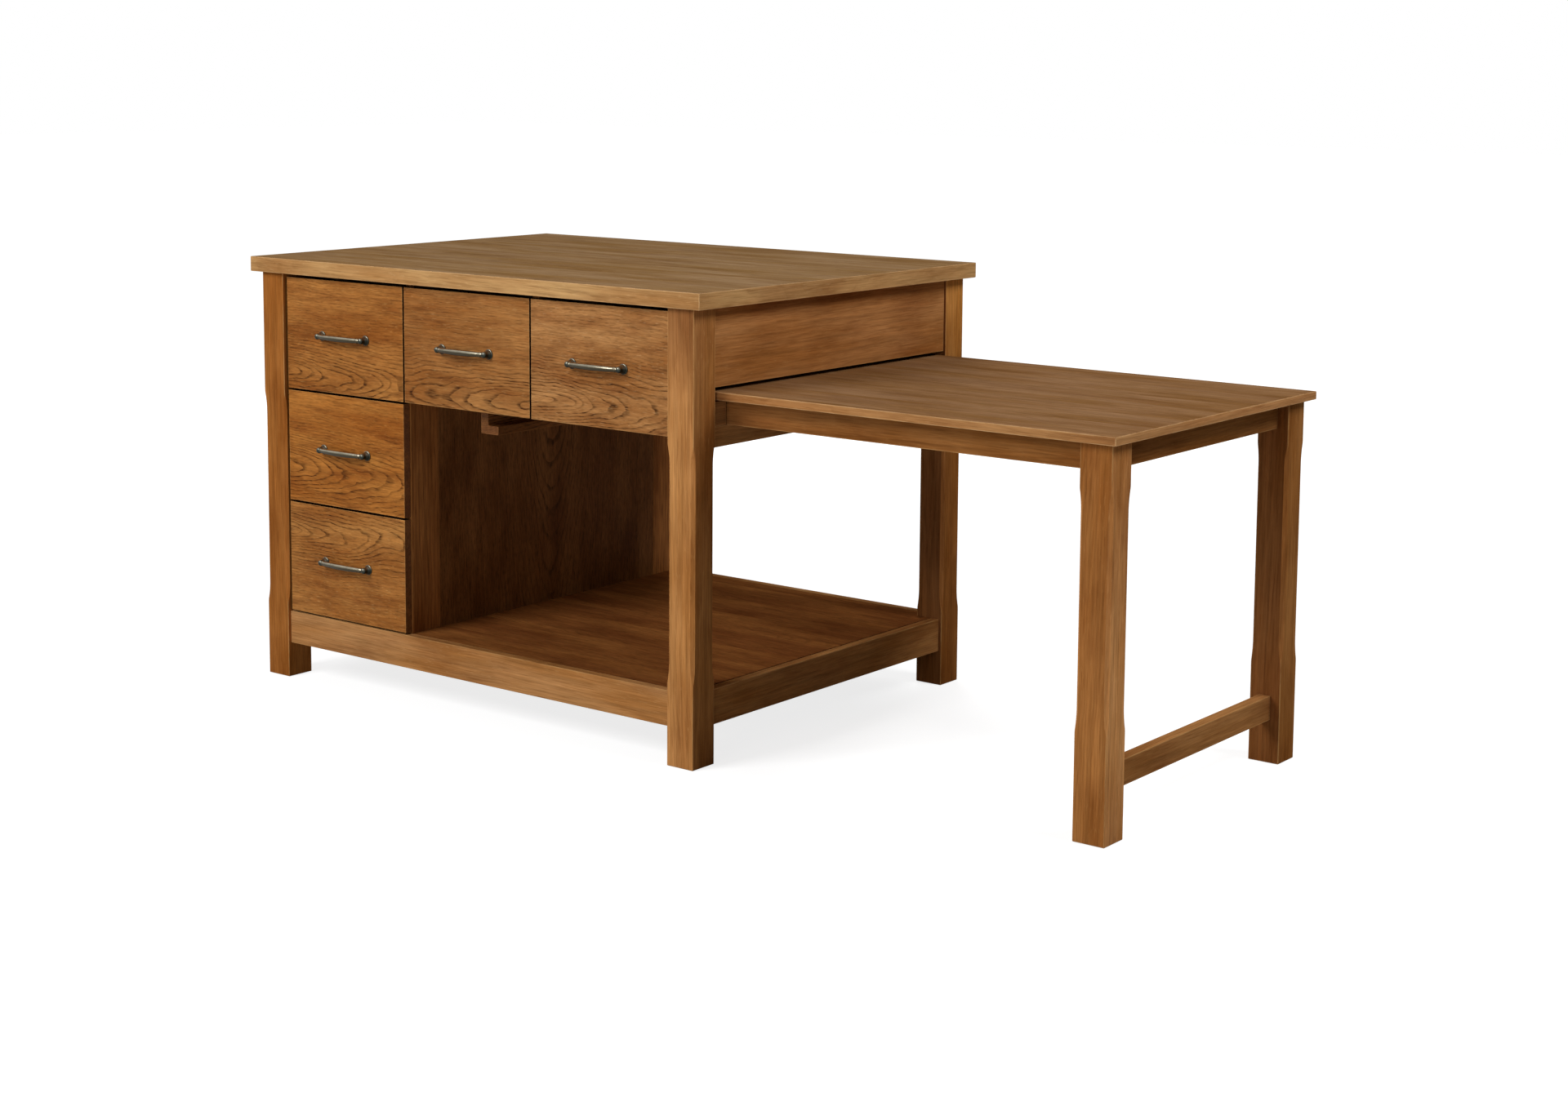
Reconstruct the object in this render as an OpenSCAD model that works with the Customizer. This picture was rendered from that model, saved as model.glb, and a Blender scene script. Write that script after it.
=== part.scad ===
// Kitchen island of stained oak: a post and rail case with five drawers,
// an open bay with a shelf, and a table that slides out of its right end.
// X runs along the drawer face to the right, Y from the drawer face to the
// back, Z up. The origin is on the floor, in the middle of the whole object's
// length and depth, with the table pulled out, which is how it is drawn.

/* [Case] */
// Length over the posts, along the drawer face
case_len = 1206; // [1100:2:1400]
// Depth over the posts, from the drawer face to the back
case_dep = 900; // [820:2:1000]
// Height of the worktop's upper face above the floor
case_h = 914; // [890:1:950]
// Side of a square post
post_w = 64; // [54:1:76]
// Width of the stopped chamfer on a post's corners, along each face
post_chamfer = 6.5; // [3:0.5:10]
// Height of plain square post left below its chamfers
chamfer_foot = 160; // [150:5:220]
// Length over which a chamfer fades out at each end
chamfer_run = 45; // [25:5:70]

/* [Worktop] */
// Thickness of the worktop
top_t = 32; // [25:1:40]
// Overhang of the worktop past the posts at the two ends
over_end = 24; // [10:1:35]
// Overhang of the worktop past the posts at the front and back
over_side = 13; // [8:1:30]

/* [Frame boards] */
// Thickness of the rails, aprons, dividers and partition stiles
rail_t = 20; // [16:1:24]
// Height of a lower rail
rail_h = 70; // [50:1:85]
// Clear height under the lower rails
toe_h = 75; // [60:1:95]
// How far a lower rail's face stands behind the posts' faces
rail_inset = 7; // [3:0.5:12]
// How far an upper apron's face stands behind the posts' faces
apron_inset = 5; // [2:0.5:10]
// Thickness of the shelf board
shelf_t = 20; // [14:1:26]
// Groove left between the shelf and the end rails
shelf_groove = 2; // [1:0.5:4]
// Width of a stile of the bay's left wall
stile_w = 80; // [50:1:110]
// How far the wall's panel lies behind the face of its stiles
panel_sink = 0.8; // [0.4:0.2:3]
// Thickness of the outer left panel and the column's back panel
panel_t = 12; // [8:1:16]

/* [Drawers] */
// Thickness of a drawer front
front_t = 18; // [15:1:22]
// How far a drawer front's face stands behind the posts' faces
front_inset = 7; // [3:0.5:12]
// Gap between neighbouring fronts
front_gap = 4; // [2.5:0.5:6]
// Gap between an outer front and its post
post_gap = 5; // [2.5:0.5:7]
// Gap between the top fronts and the worktop
head_gap = 8; // [4:1:14]
// Length of a drawer box, front to back
box_len = 500; // [440:5:560]
// Thickness of the boards of a drawer box
box_t = 15; // [13:0.5:18]
// Side clearance between a drawer box and the boards beside it
box_gap = 5; // [3:0.5:7]
// Thickness of a drawer's bottom panel
bottom_t = 6; // [4:0.5:8]
// How deep a bottom panel goes into its groove
bottom_tongue = 5; // [3:0.5:6]
// Height of a drawer runner
runner_h = 18; // [12:1:24]
// How far a runner goes into the groove in a drawer's side
runner_bite = 6.5; // [4:0.5:8]

/* [Handles] */
// Distance between the two feet of a handle
handle_pitch = 132; // [96:2:192]
// Distance of the grip's axis from the drawer front, at the feet
grip_reach = 20; // [16:1:30]
// How much further out the grip bows at its middle
grip_bow = 7; // [3:0.5:12]
// Radius of the grip
grip_r = 4.6; // [3.5:0.1:6]
// Radius of a foot's rosette
rosette_r = 10; // [8:0.5:14]
// Radius of a handle screw's shank
screw_r = 2; // [1.5:0.1:2.5]
// Radius of a handle screw's head
screw_head_r = 4.5; // [4:0.1:6]

/* [Table] */
// How far the table's end stands out from the right posts when pulled out
table_reach = 862; // [720:2:900]
// How far the table's upper face lies below the worktop's
table_drop = 194; // [190:1:204]
// Clearance between the table top and the posts beside it
table_side_gap = 7; // [5:1:25]
// Thickness of the table top
table_t = 16; // [12:1:22]
// Overhang of the table top past its legs at the end
table_over_end = 16; // [5:1:40]
// Overhang of the table top past its legs at the front and back
table_over_side = 19; // [8:1:24]
// Side of a square table leg
leg_w = 64; // [56:1:72]
// Height of the table's aprons
table_apron_h = 51; // [40:1:54]
// How far a table apron's face stands behind the legs' faces
table_apron_inset = 18; // [10:1:26]
// Length of the table that stays inside the case when pulled out
table_hold = 120; // [90:2:160]
// Height of the stretcher between the legs
stretcher_h = 48; // [35:1:60]
// Thickness of the stretcher
stretcher_t = 24; // [18:1:30]
// Clear height under the stretcher
stretcher_z = 85; // [60:1:110]
// Height of the rail that carries the table at the case's right end
support_h = 40; // [30:1:60]
// Clearance between the table's aprons and what they slide on
slide_gap = 0.3; // [0.2:0.1:1]
// Clearance between a table apron and the guide block beside it
guide_gap = 3; // [1:0.5:5]

/* [Hidden] */
$fn = 48;

// Heights
top_z0 = case_h - top_t;
rail_z1 = toe_h + rail_h;
table_h = case_h - table_drop;
under_top = table_h - table_t;
apron_low = under_top - table_apron_h;
bearer_z = apron_low - slide_gap;
// Room over the table top: under the case rails' upper edges and under the right apron
slot_gap = 6;
apron_gap = 8;
slot_z1 = table_h + slot_gap;
apron_z0 = table_h + apron_gap;
// How far the case rails reach down past the table's aprons, to hold the bearer
rail_drop = 13;
case_rail_z0 = apron_low - rail_drop;
case_rail_z1 = slot_z1;
// Square wood left between a post's chamfers and the case rails
chamfer_head = 15;

// The case in plan, placed so that the whole object is centred on the origin
handle_out = grip_reach + grip_bow + grip_r - front_inset;
xr = (case_len + over_end - table_reach) / 2;
xl = xr - case_len;
y_mid = (max(over_side, handle_out) - over_side) / 2;
yf = y_mid - case_dep / 2;
yb = y_mid + case_dep / 2;
// The same place on the other side of the middle
function mirrored(y) = 2 * y_mid - y;
xl_in = xl + post_w;
xr_in = xr - post_w;
yf_in = yf + post_w;
yb_in = yb - post_w;

// Drawer fronts: three across the top, two below the left one
seat_gap = 0.3;
box_y0 = yf + front_inset + front_t;
carcass_y0 = box_y0 + seat_gap;
carcass_y1 = mirrored(carcass_y0);
front_w = (xr_in - xl_in - 2 * post_gap - 2 * front_gap) / 3;
front_z0 = rail_z1 + front_gap;
front_h = (top_z0 - head_gap - front_z0 - 2 * front_gap) / 3;
// Column and row of each drawer: top left, top middle, top right, middle, lower
DRAWERS = [[0, 2], [1, 2], [2, 2], [0, 1], [0, 0]];
function front_x0(i) = xl_in + post_gap + DRAWERS[i][0] * (front_w + front_gap);
function front_bottom(i) = front_z0 + DRAWERS[i][1] * (front_h + front_gap);
function front_mid_x(i) = front_x0(i) + front_w / 2;
function front_mid_z(i) = front_bottom(i) + front_h / 2;
// Middle of the gap to the right of the front in column c
function gap_x(c) = xl_in + post_gap + (c + 1) * front_w + (c + 0.5) * front_gap;

// Rail behind the gap between the lower fronts, and the column's back panel
column_rail_h = 26;
back_recess = 2;
outer_panel_inset = 10;

// Drawer boxes, between the faces that carry their runners
function is_top(i) = DRAWERS[i][1] == 2;
function cell_x0(i) = DRAWERS[i][0] == 0 ? xl_in : gap_x(DRAWERS[i][0] - 1) + rail_t / 2;
function cell_x1(i) = !is_top(i) ? gap_x(0) - rail_t
    : DRAWERS[i][0] == 2 ? xr_in
    : gap_x(DRAWERS[i][0]) - rail_t / 2;
function box_x0(i) = cell_x0(i) + box_gap;
function box_x1(i) = cell_x1(i) - box_gap;
top_box_lift = 4;
box_lift = 16;
top_box_drop = 14;
box_drop = 40;
function box_z0(i) = is_top(i) ? slot_z1 + top_box_lift : front_bottom(i) + box_lift;
function box_z1(i) = front_bottom(i) + front_h - (is_top(i) ? top_box_drop : box_drop);
box_y1 = box_y0 + box_len;
bottom_rise = 8;
groove_fit = 0.3;
groove_start = 35;
runner_front_gap = 2;
runner_back_gap = 4;
runner_y0 = yf_in + runner_front_gap;
runner_y1 = box_y1 - runner_back_gap;
runner_t = box_gap + runner_bite;
groove_depth = runner_bite + groove_fit;

// Handle
grip_R = (pow(handle_pitch / 2, 2) + pow(grip_bow, 2)) / (2 * grip_bow);
grip_angle = 2 * asin(handle_pitch / 2 / grip_R);
// Width of the neck and length of the flare, as parts of the grip's radius and reach
neck_part = 0.85;
flare_part = 0.45;
rosette_rim = 2.2;
knuckle = 0.9;
screw_fit = 0.1;
screw_bite = 11;
screw_head_t = 3;
// A handle sits at the middle of its front, or just high enough for its
// screws to clear the box's bottom
screw_room = 2;
function handle_z(i) = max(front_mid_z(i),
    box_z0(i) + bottom_rise + bottom_t + screw_head_r + screw_room);

// Table
table_x1 = xr + table_reach;
table_x0 = xr - table_hold;
table_y0 = yf_in + table_side_gap;
leg_x1 = table_x1 - table_over_end;
leg_x0 = leg_x1 - leg_w;
leg_y0 = table_y0 + table_over_side;
apron_y0 = leg_y0 + table_apron_inset;
end_apron_inset = 23;
stop_len = 30;
stop_t = 28;
stop_rise = 4;
guide_gap_top = 4;
guide_h = under_top - bearer_z - guide_gap_top;
leg_chamfer_foot = 194;
leg_chamfer_head = 28;

// Bearer under the middle of the case: an upright and a foot
bearer_off = 5;
bearer_x0 = front_mid_x(1) + bearer_off;
bearer_foot_w = 28;
bearer_foot_t = 18;
bearer_drop = 68;

OAK = "#9a6434";
OAK_DARK = "#7d4f28";
BIRCH = "#c9a877";
PEWTER = "#5c615f";
STEEL = "#a9adaf";

// A board between two corners
module board(a, b) {
    translate(a) cube(b - a);
}

// What a stopped chamfer takes off one vertical edge at the origin, where the
// wood lies towards +X and +Y: a flat at 45 degrees that fades out along arcs
module chamfer_cut(z0, z1) {
    depth = post_chamfer / sqrt(2);
    R = (chamfer_run * chamfer_run + depth * depth) / (2 * depth);
    width = 3 * post_chamfer;
    rotate([90, 0, 45]) translate([0, 0, -width / 2]) linear_extrude(width) {
        translate([-depth, z0 + chamfer_run]) square([2 * depth, z1 - z0 - 2 * chamfer_run]);
        for (z = [z0 + chamfer_run, z1 - chamfer_run]) {
            intersection() {
                translate([depth - R, z]) circle(R, $fn = 180);
                translate([-depth, z - chamfer_run - 1]) square([3 * depth, 2 * chamfer_run + 2]);
            }
        }
    }
}

// Square post standing on the floor, with stopped chamfers on its four corners
module chamfered_post(w, h, z0, z1) {
    difference() {
        cube([w, w, h]);
        for (turn = [0:3]) {
            translate([w / 2, w / 2, 0]) rotate(90 * turn) translate([-w / 2, -w / 2, 0])
                chamfer_cut(z0, z1);
        }
    }
}

module case_post(x, y) {
    color(OAK) translate([x, y, 0])
        chamfered_post(post_w, top_z0, chamfer_foot, case_rail_z0 - chamfer_head);
}

module worktop() {
    color(OAK) board([xl - over_end, yf - over_side, top_z0], [xr + over_end, yb + over_side, case_h]);
}

module post_front_left() { case_post(xl, yf); }
module post_front_right() { case_post(xr_in, yf); }
module post_back_left() { case_post(xl, yb_in); }
module post_back_right() { case_post(xr_in, yb_in); }

// Board along Y between two posts; x is its outer face, side its inward direction
module end_board(x, side, t, z0, z1) {
    color(OAK) board([side > 0 ? x : x - t, yf_in, z0], [side > 0 ? x + t : x, yb_in, z1]);
}

// Board along X between two posts; y is its outer face, side its inward direction
module long_board(y, side, t, z0, z1) {
    color(OAK) board([xl_in, side > 0 ? y : y - t, z0], [xr_in, side > 0 ? y + t : y, z1]);
}

module apron_right() { end_board(xr - apron_inset, -1, rail_t, apron_z0, top_z0); }
module apron_left() { end_board(xl + apron_inset, 1, rail_t, apron_z0, top_z0); }
module apron_back() { long_board(yb - apron_inset, -1, rail_t, apron_z0, top_z0); }

module case_rail_front() { long_board(carcass_y0, 1, rail_t, case_rail_z0, case_rail_z1); }
module case_rail_back() { long_board(carcass_y1, -1, rail_t, case_rail_z0, case_rail_z1); }

module lower_rail_front() { long_board(yf + rail_inset, 1, rail_t, toe_h, rail_z1); }
module lower_rail_back() { long_board(yb - rail_inset, -1, rail_t, toe_h, rail_z1); }
module lower_rail_left() { end_board(xl + rail_inset, 1, rail_t, toe_h, rail_z1); }
module lower_rail_right() { end_board(xr - rail_inset, -1, rail_t, toe_h, rail_z1); }

// The shelf fills the frame of lower rails and is notched round the posts
module shelf() {
    end = rail_inset + rail_t + shelf_groove;
    side = rail_inset + rail_t;
    color(OAK) difference() {
        board([xl + end, yf + side, rail_z1 - shelf_t], [xr - end, yb - side, rail_z1]);
        for (x = [xl, xr_in], y = [yf, yb_in]) {
            board([x, y, 0], [x + post_w, y + post_w, top_z0]);
        }
    }
}

// Left wall of the bay: two stiles and a panel that lies just behind their face
module wall_board(y0, y1, sink) {
    x1 = gap_x(0) - sink;
    color(OAK_DARK) board([gap_x(0) - rail_t, y0, rail_z1], [x1, y1, case_rail_z0]);
}

module partition_stile_front() { wall_board(carcass_y0, carcass_y0 + stile_w, 0); }
module partition_stile_back() { wall_board(carcass_y1 - stile_w, carcass_y1, 0); }
module partition_panel() { wall_board(carcass_y0 + stile_w, carcass_y1 - stile_w, panel_sink); }

// Inner wall that carries the left runners, and the outer panel that shows
module column_side_inner() {
    color(OAK_DARK) board([xl_in - rail_t, yf_in, rail_z1], [xl_in, yb_in, top_z0]);
}
module column_side_outer() { end_board(xl + outer_panel_inset, 1, panel_t, rail_z1, apron_z0); }

module column_back() {
    y1 = carcass_y1 - back_recess;
    color(OAK_DARK) board([xl_in, y1 - panel_t, rail_z1], [gap_x(0) - rail_t, y1, case_rail_z0]);
}

// Rail behind the gap between the two lower fronts
module column_rail() {
    mid = front_bottom(3) - front_gap / 2;
    color(OAK_DARK) board([xl_in, carcass_y0, mid - column_rail_h / 2],
        [gap_x(0) - rail_t, carcass_y0 + rail_t, mid + column_rail_h / 2]);
}

// Two dividers on the case rails, and the board that carries the last runner
module drawer_dividers() {
    color(OAK_DARK) {
        for (c = [0, 1]) {
            board([gap_x(c) - rail_t / 2, carcass_y0, case_rail_z1],
                [gap_x(c) + rail_t / 2, carcass_y1, top_z0]);
        }
        board([xr_in, yf_in, apron_z0], [xr_in + rail_t, yb_in, top_z0]);
    }
}

function runner_z(i) = (box_z0(i) + box_z1(i)) / 2;

module drawer_runners() {
    color(BIRCH) for (i = [0:len(DRAWERS) - 1]) {
        z0 = runner_z(i) - runner_h / 2;
        z1 = runner_z(i) + runner_h / 2;
        board([cell_x0(i), runner_y0, z0], [cell_x0(i) + runner_t, runner_y1, z1]);
        board([cell_x1(i) - runner_t, runner_y0, z0], [cell_x1(i), runner_y1, z1]);
    }
}

module table_support_rail() { end_board(xr - rail_inset, -1, rail_t, bearer_z - support_h, bearer_z); }

// A block at each end of the support rail keeps the table's aprons in line
module table_guides() {
    x1 = xr - rail_inset;
    y1 = apron_y0 - guide_gap;
    color(OAK) {
        board([x1 - rail_t, yf_in, bearer_z], [x1, y1, bearer_z + guide_h]);
        board([x1 - rail_t, mirrored(y1), bearer_z], [x1, yb_in, bearer_z + guide_h]);
    }
}

// L-shaped bearer between the case rails, which the table's aprons slide over
module cross_bearer() {
    x1 = bearer_x0 + rail_t;
    y0 = carcass_y0 + rail_t;
    z0 = bearer_z - bearer_drop;
    color(OAK) {
        board([bearer_x0, y0, z0], [x1, mirrored(y0), bearer_z]);
        board([x1, y0, z0], [x1 + bearer_foot_w, mirrored(y0), z0 + bearer_foot_t]);
    }
}

// Places its children at the two feet of drawer i's handle, on the front's face
module at_feet(i) {
    for (side = [-1, 1]) {
        translate([front_mid_x(i) + side * handle_pitch / 2, yf + front_inset, handle_z(i)]) children();
    }
}

// Hole for a handle screw, from y0 to y1 behind the front's face
module screw_hole(y0, y1) {
    translate([0, y0, 0]) rotate([-90, 0, 0]) cylinder(h = y1 - y0, r = screw_r + screw_fit);
}

module drawer_front(i) {
    color(OAK) difference() {
        board([front_x0(i), yf + front_inset, front_bottom(i)],
            [front_x0(i) + front_w, box_y0, front_bottom(i) + front_h]);
        at_feet(i) screw_hole(-1, front_t + 1);
    }
}

// Grooved for the runners outside and for the bottom panel inside
module drawer_box(i) {
    x0 = box_x0(i);
    x1 = box_x1(i);
    z0 = box_z0(i);
    z1 = box_z1(i);
    half = runner_h / 2 + groove_fit;
    color(BIRCH) difference() {
        board([x0, box_y0, z0], [x1, box_y1, z1]);
        board([x0 + box_t, box_y0 + box_t, z0 - 1], [x1 - box_t, box_y1 - box_t, z1 + 1]);
        drawer_panel(i);
        for (x = [[x0 - 1, x0 + groove_depth], [x1 - groove_depth, x1 + 1]]) {
            board([x[0], box_y0 + groove_start, runner_z(i) - half],
                [x[1], box_y1 + 1, runner_z(i) + half]);
        }
        at_feet(i) screw_hole(front_t - 1, front_t + box_t + 1);
    }
}

module drawer_panel(i) {
    edge = box_t - bottom_tongue;
    z = box_z0(i) + bottom_rise;
    board([box_x0(i) + edge, box_y0 + edge, z], [box_x1(i) - edge, box_y1 - edge, z + bottom_t]);
}

module drawer_bottom(i) {
    color(BIRCH) drawer_panel(i);
}

// Turned foot: a rosette that narrows to a neck, with a knuckle round the grip's end
module handle_foot() {
    neck = grip_r * neck_part;
    waist = rosette_rim + grip_reach * flare_part;
    rotate([90, 0, 0]) {
        rotate_extrude() difference() {
            polygon([
                [0, 0], [rosette_r, 0], [rosette_r, rosette_rim],
                [neck + 2, (rosette_rim + waist) / 2], [neck, waist], [neck, grip_reach], [0, grip_reach]
            ]);
            square([screw_r + screw_fit, screw_bite]);
        }
        translate([0, 0, grip_reach]) sphere(grip_r + knuckle);
    }
}

// Grip: a round bar bent to an arc between the feet
module handle_grip() {
    translate([0, grip_R - grip_bow - grip_reach, 0]) rotate([0, 0, -90 - grip_angle / 2])
        rotate_extrude(angle = grip_angle, $fn = 96) translate([grip_R, 0]) circle(grip_r);
}

module drawer_handle(i) {
    color(PEWTER) {
        at_feet(i) handle_foot();
        translate([front_mid_x(i), yf + front_inset, handle_z(i)]) handle_grip();
    }
}

module drawer_screws(i) {
    under_head = front_t + box_t;
    color(STEEL) at_feet(i) rotate([-90, 0, 0]) {
        translate([0, 0, -screw_bite]) cylinder(h = screw_bite + under_head, r = screw_r);
        translate([0, 0, under_head]) cylinder(h = screw_head_t, r = screw_head_r);
    }
}

module table_top() {
    color(OAK) board([table_x0, table_y0, under_top], [table_x1, mirrored(table_y0), table_h]);
}

module table_leg(y) {
    color(OAK) translate([leg_x0, y, 0])
        chamfered_post(leg_w, under_top, leg_chamfer_foot, apron_low - leg_chamfer_head);
}

module table_leg_front() { table_leg(leg_y0); }
module table_leg_back() { table_leg(mirrored(leg_y0) - leg_w); }

// The front and back aprons run from the legs to the table's inner end
module table_aprons() {
    color(OAK) for (y = [apron_y0, mirrored(apron_y0) - rail_t]) {
        board([table_x0, y, apron_low], [leg_x0, y + rail_t, under_top]);
    }
}

module table_apron_end() {
    x1 = leg_x1 - end_apron_inset;
    y0 = leg_y0 + leg_w;
    color(OAK) board([x1 - rail_t, y0, apron_low], [x1, mirrored(y0), under_top]);
}

module table_rail_inner() {
    y0 = apron_y0 + rail_t;
    color(OAK) board([table_x0, y0, apron_low], [table_x0 + rail_t, mirrored(y0), under_top]);
}

module table_stretcher() {
    x0 = (leg_x0 + leg_x1 - stretcher_t) / 2;
    y0 = leg_y0 + leg_w;
    z1 = stretcher_z + stretcher_h;
    color(OAK) board([x0, y0, stretcher_z], [x0 + stretcher_t, mirrored(y0), z1]);
}

// Blocks on the aprons meet the guides and stop the table as it comes out
module table_stops() {
    x1 = xr - rail_inset - rail_t - slide_gap;
    color(OAK) for (y = [apron_y0 - stop_t, mirrored(apron_y0)]) {
        board([x1 - stop_len, y, apron_low + stop_rise], [x1, y + stop_t, under_top]);
    }
}

worktop();
post_front_left();
post_front_right();
post_back_left();
post_back_right();
apron_right();
apron_left();
apron_back();
case_rail_front();
case_rail_back();
lower_rail_front();
lower_rail_back();
lower_rail_left();
lower_rail_right();
shelf();
partition_stile_front();
partition_stile_back();
partition_panel();
column_side_inner();
column_side_outer();
column_back();
column_rail();
drawer_dividers();
drawer_runners();
table_support_rail();
table_guides();
cross_bearer();
drawer_front(0);  // top_left_front
drawer_box(0);  // top_left_box
drawer_bottom(0);  // top_left_bottom
drawer_handle(0);  // top_left_handle
drawer_screws(0);  // top_left_screws
drawer_front(1);  // top_middle_front
drawer_box(1);  // top_middle_box
drawer_bottom(1);  // top_middle_bottom
drawer_handle(1);  // top_middle_handle
drawer_screws(1);  // top_middle_screws
drawer_front(2);  // top_right_front
drawer_box(2);  // top_right_box
drawer_bottom(2);  // top_right_bottom
drawer_handle(2);  // top_right_handle
drawer_screws(2);  // top_right_screws
drawer_front(3);  // middle_front
drawer_box(3);  // middle_box
drawer_bottom(3);  // middle_bottom
drawer_handle(3);  // middle_handle
drawer_screws(3);  // middle_screws
drawer_front(4);  // lower_front
drawer_box(4);  // lower_box
drawer_bottom(4);  // lower_bottom
drawer_handle(4);  // lower_handle
drawer_screws(4);  // lower_screws
table_top();
table_leg_front();
table_leg_back();
table_aprons();
table_apron_end();
table_rail_inner();
table_stretcher();
table_stops();
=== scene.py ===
"""Looks of a stained oak kitchen island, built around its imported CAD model."""

from __future__ import annotations

import logging
import math
import random
from collections.abc import Callable
from dataclasses import dataclass
from enum import Enum
from functools import cache

import bpy
import numpy as np
from mathutils import Matrix, Vector

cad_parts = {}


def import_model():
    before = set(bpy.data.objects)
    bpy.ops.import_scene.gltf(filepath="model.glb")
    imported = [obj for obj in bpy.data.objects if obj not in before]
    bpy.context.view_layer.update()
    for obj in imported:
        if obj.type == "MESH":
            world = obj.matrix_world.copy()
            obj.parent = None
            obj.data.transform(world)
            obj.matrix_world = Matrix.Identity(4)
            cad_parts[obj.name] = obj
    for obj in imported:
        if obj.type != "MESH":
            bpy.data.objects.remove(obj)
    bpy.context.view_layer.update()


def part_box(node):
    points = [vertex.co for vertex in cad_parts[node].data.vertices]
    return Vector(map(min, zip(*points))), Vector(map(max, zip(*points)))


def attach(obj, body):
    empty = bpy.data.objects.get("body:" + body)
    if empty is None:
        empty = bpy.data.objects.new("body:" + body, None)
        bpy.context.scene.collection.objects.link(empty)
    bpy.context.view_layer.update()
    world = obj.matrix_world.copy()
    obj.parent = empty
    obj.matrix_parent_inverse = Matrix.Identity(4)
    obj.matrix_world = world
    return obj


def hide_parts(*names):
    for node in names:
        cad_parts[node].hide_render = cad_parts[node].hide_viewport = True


MM = 0.001
# Corners of a CAD node's loose triangles nearer than this, in metres, are one corner
MERGE = 1e-6
# A vertex is chosen where it is nearer than this to the wanted place, in metres
NEAR = 1e-5
# A face looks along an axis where its normal's share of that axis is over this
FACING = 0.6

Material = bpy.types.Material
Mesh = bpy.types.Mesh
Node = bpy.types.Node
NodeTree = bpy.types.NodeTree
Object = bpy.types.Object
Source = Node | bpy.types.NodeSocket
Tone = tuple[float, float, float]
PLAIN: Tone = (1.0, 1.0, 1.0)

log = logging.getLogger("kitchen_island")


def linear(colour: str, alpha: float = 1.0) -> tuple[float, float, float, float]:
    """Turns an sRGB hex colour into a linear one.

    Args:
        colour: Six hex digits after a #.
        alpha: The fourth value.

    Returns:
        Red, green, blue and alpha.
    """
    parts = [int(colour[i : i + 2], 16) / 255 for i in (1, 3, 5)]
    low = [p / 12.92 if p <= 0.04045 else ((p + 0.055) / 1.055) ** 2.4 for p in parts]
    return (low[0], low[1], low[2], alpha)


def add_node(
    tree: NodeTree,
    kind: str,
    inputs: dict[int | str, object] | None = None,
    stops: tuple[tuple[float, float], ...] = (),
    **settings: object,
) -> Node:
    """Adds a shader node with its settings, values and links.

    Args:
        tree: The node tree.
        kind: The node's type, without its ShaderNode prefix.
        inputs: By input name or number: a value, an output socket to link, or
            a node, whose first output is linked.
        stops: Place and grey level of each stop of a colour ramp.
        **settings: Properties of the node.

    Returns:
        The new node.
    """
    node = tree.nodes.new("ShaderNode" + kind)
    for name, value in settings.items():
        setattr(node, name, value)
    for key, value in (inputs or {}).items():
        if isinstance(value, Node):
            value = value.outputs[0]
        if isinstance(value, bpy.types.NodeSocket):
            tree.links.new(value, node.inputs[key])
        else:
            node.inputs[key].default_value = value
    for i, (place, level) in enumerate(stops):
        elements = node.color_ramp.elements
        stop = elements[i] if i < 2 else elements.new(place)
        stop.position = place
        stop.color = (level, level, level, 1.0)
    return node


def new_material(name: str) -> tuple[Material, NodeTree]:
    """Makes an empty node material.

    Args:
        name: The material's name.

    Returns:
        The material and its emptied node tree.
    """
    material = bpy.data.materials.new(name)
    material.use_nodes = True
    material.node_tree.nodes.clear()
    return material, material.node_tree


class Grain(Enum):
    """The direction that a board's fibres run in."""

    ALONG_X = 0
    ALONG_Y = 1
    ALONG_Z = 2


class Cut(Enum):
    """How a board was sawn.

    The pith's distance to its side and behind its face, in mm, and how far the
    pith leans towards the face along the board, which draws the arches out.
    """

    CROWN = (14.0, 62.0, 0.13)
    HEART = (0.0, 32.0, 0.11)
    RIFT = (120.0, 90.0, 0.02)


@dataclass(frozen=True)
class Pattern:
    """A noise pattern that is drawn out along a board's fibres.

    It has so many features in a metre along and across them, and so many
    octaves. Its values from start to end are the ones that show.
    """

    along: float
    across: float
    octaves: float
    start: float = 0.0
    end: float = 1.0

    def draw(self, tree: NodeTree, place: Source) -> Node:
        """Draws the pattern.

        Args:
            tree: The node tree.
            place: Place in the log, in metres.

        Returns:
            The noise node.
        """
        size = (self.along, self.across, self.across)
        scaled = add_node(tree, "VectorMath", {0: place, 1: size}, operation="MULTIPLY")
        return add_node(
            tree, "TexNoise", {"Vector": scaled, "Scale": 1.0, "Detail": self.octaves, "Roughness": 0.55}
        )

    def spread(self, tree: NodeTree, place: Source, low: float = 0.0, high: float = 1.0) -> Node:
        """Draws the pattern, with the values that show spread over a range.

        Args:
            tree: The node tree.
            place: Place in the log, in metres.
            low: What the pattern's start becomes.
            high: What its end becomes.

        Returns:
            The node that gives the spread values.
        """
        limits = {"From Min": self.start, "From Max": self.end, "To Min": low, "To Max": high}
        return add_node(tree, "MapRange", {"Value": self.draw(tree, place)} | limits)


# A trunk isn't straight over half a metre, its fibres swing past knots 60 to
# 110 mm apart, and they waver over 12 to 40 mm
TRUNK = Pattern(1.6, 3.5, 2.0)
SWING = Pattern(9.0, 16.0, 2.0)
WAVER = Pattern(24.0, 80.0, 2.0)
# A ring shows strongly over some 140 mm, and faintly over the next
STRENGTH = Pattern(7.0, 55.0, 2.0, 0.36, 0.58)
# Pores are open vessels a third of a millimetre wide, drawn 2 mm wide to show
PORES = Pattern(18.0, 480.0, 1.0, 0.46, 0.68)
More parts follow.
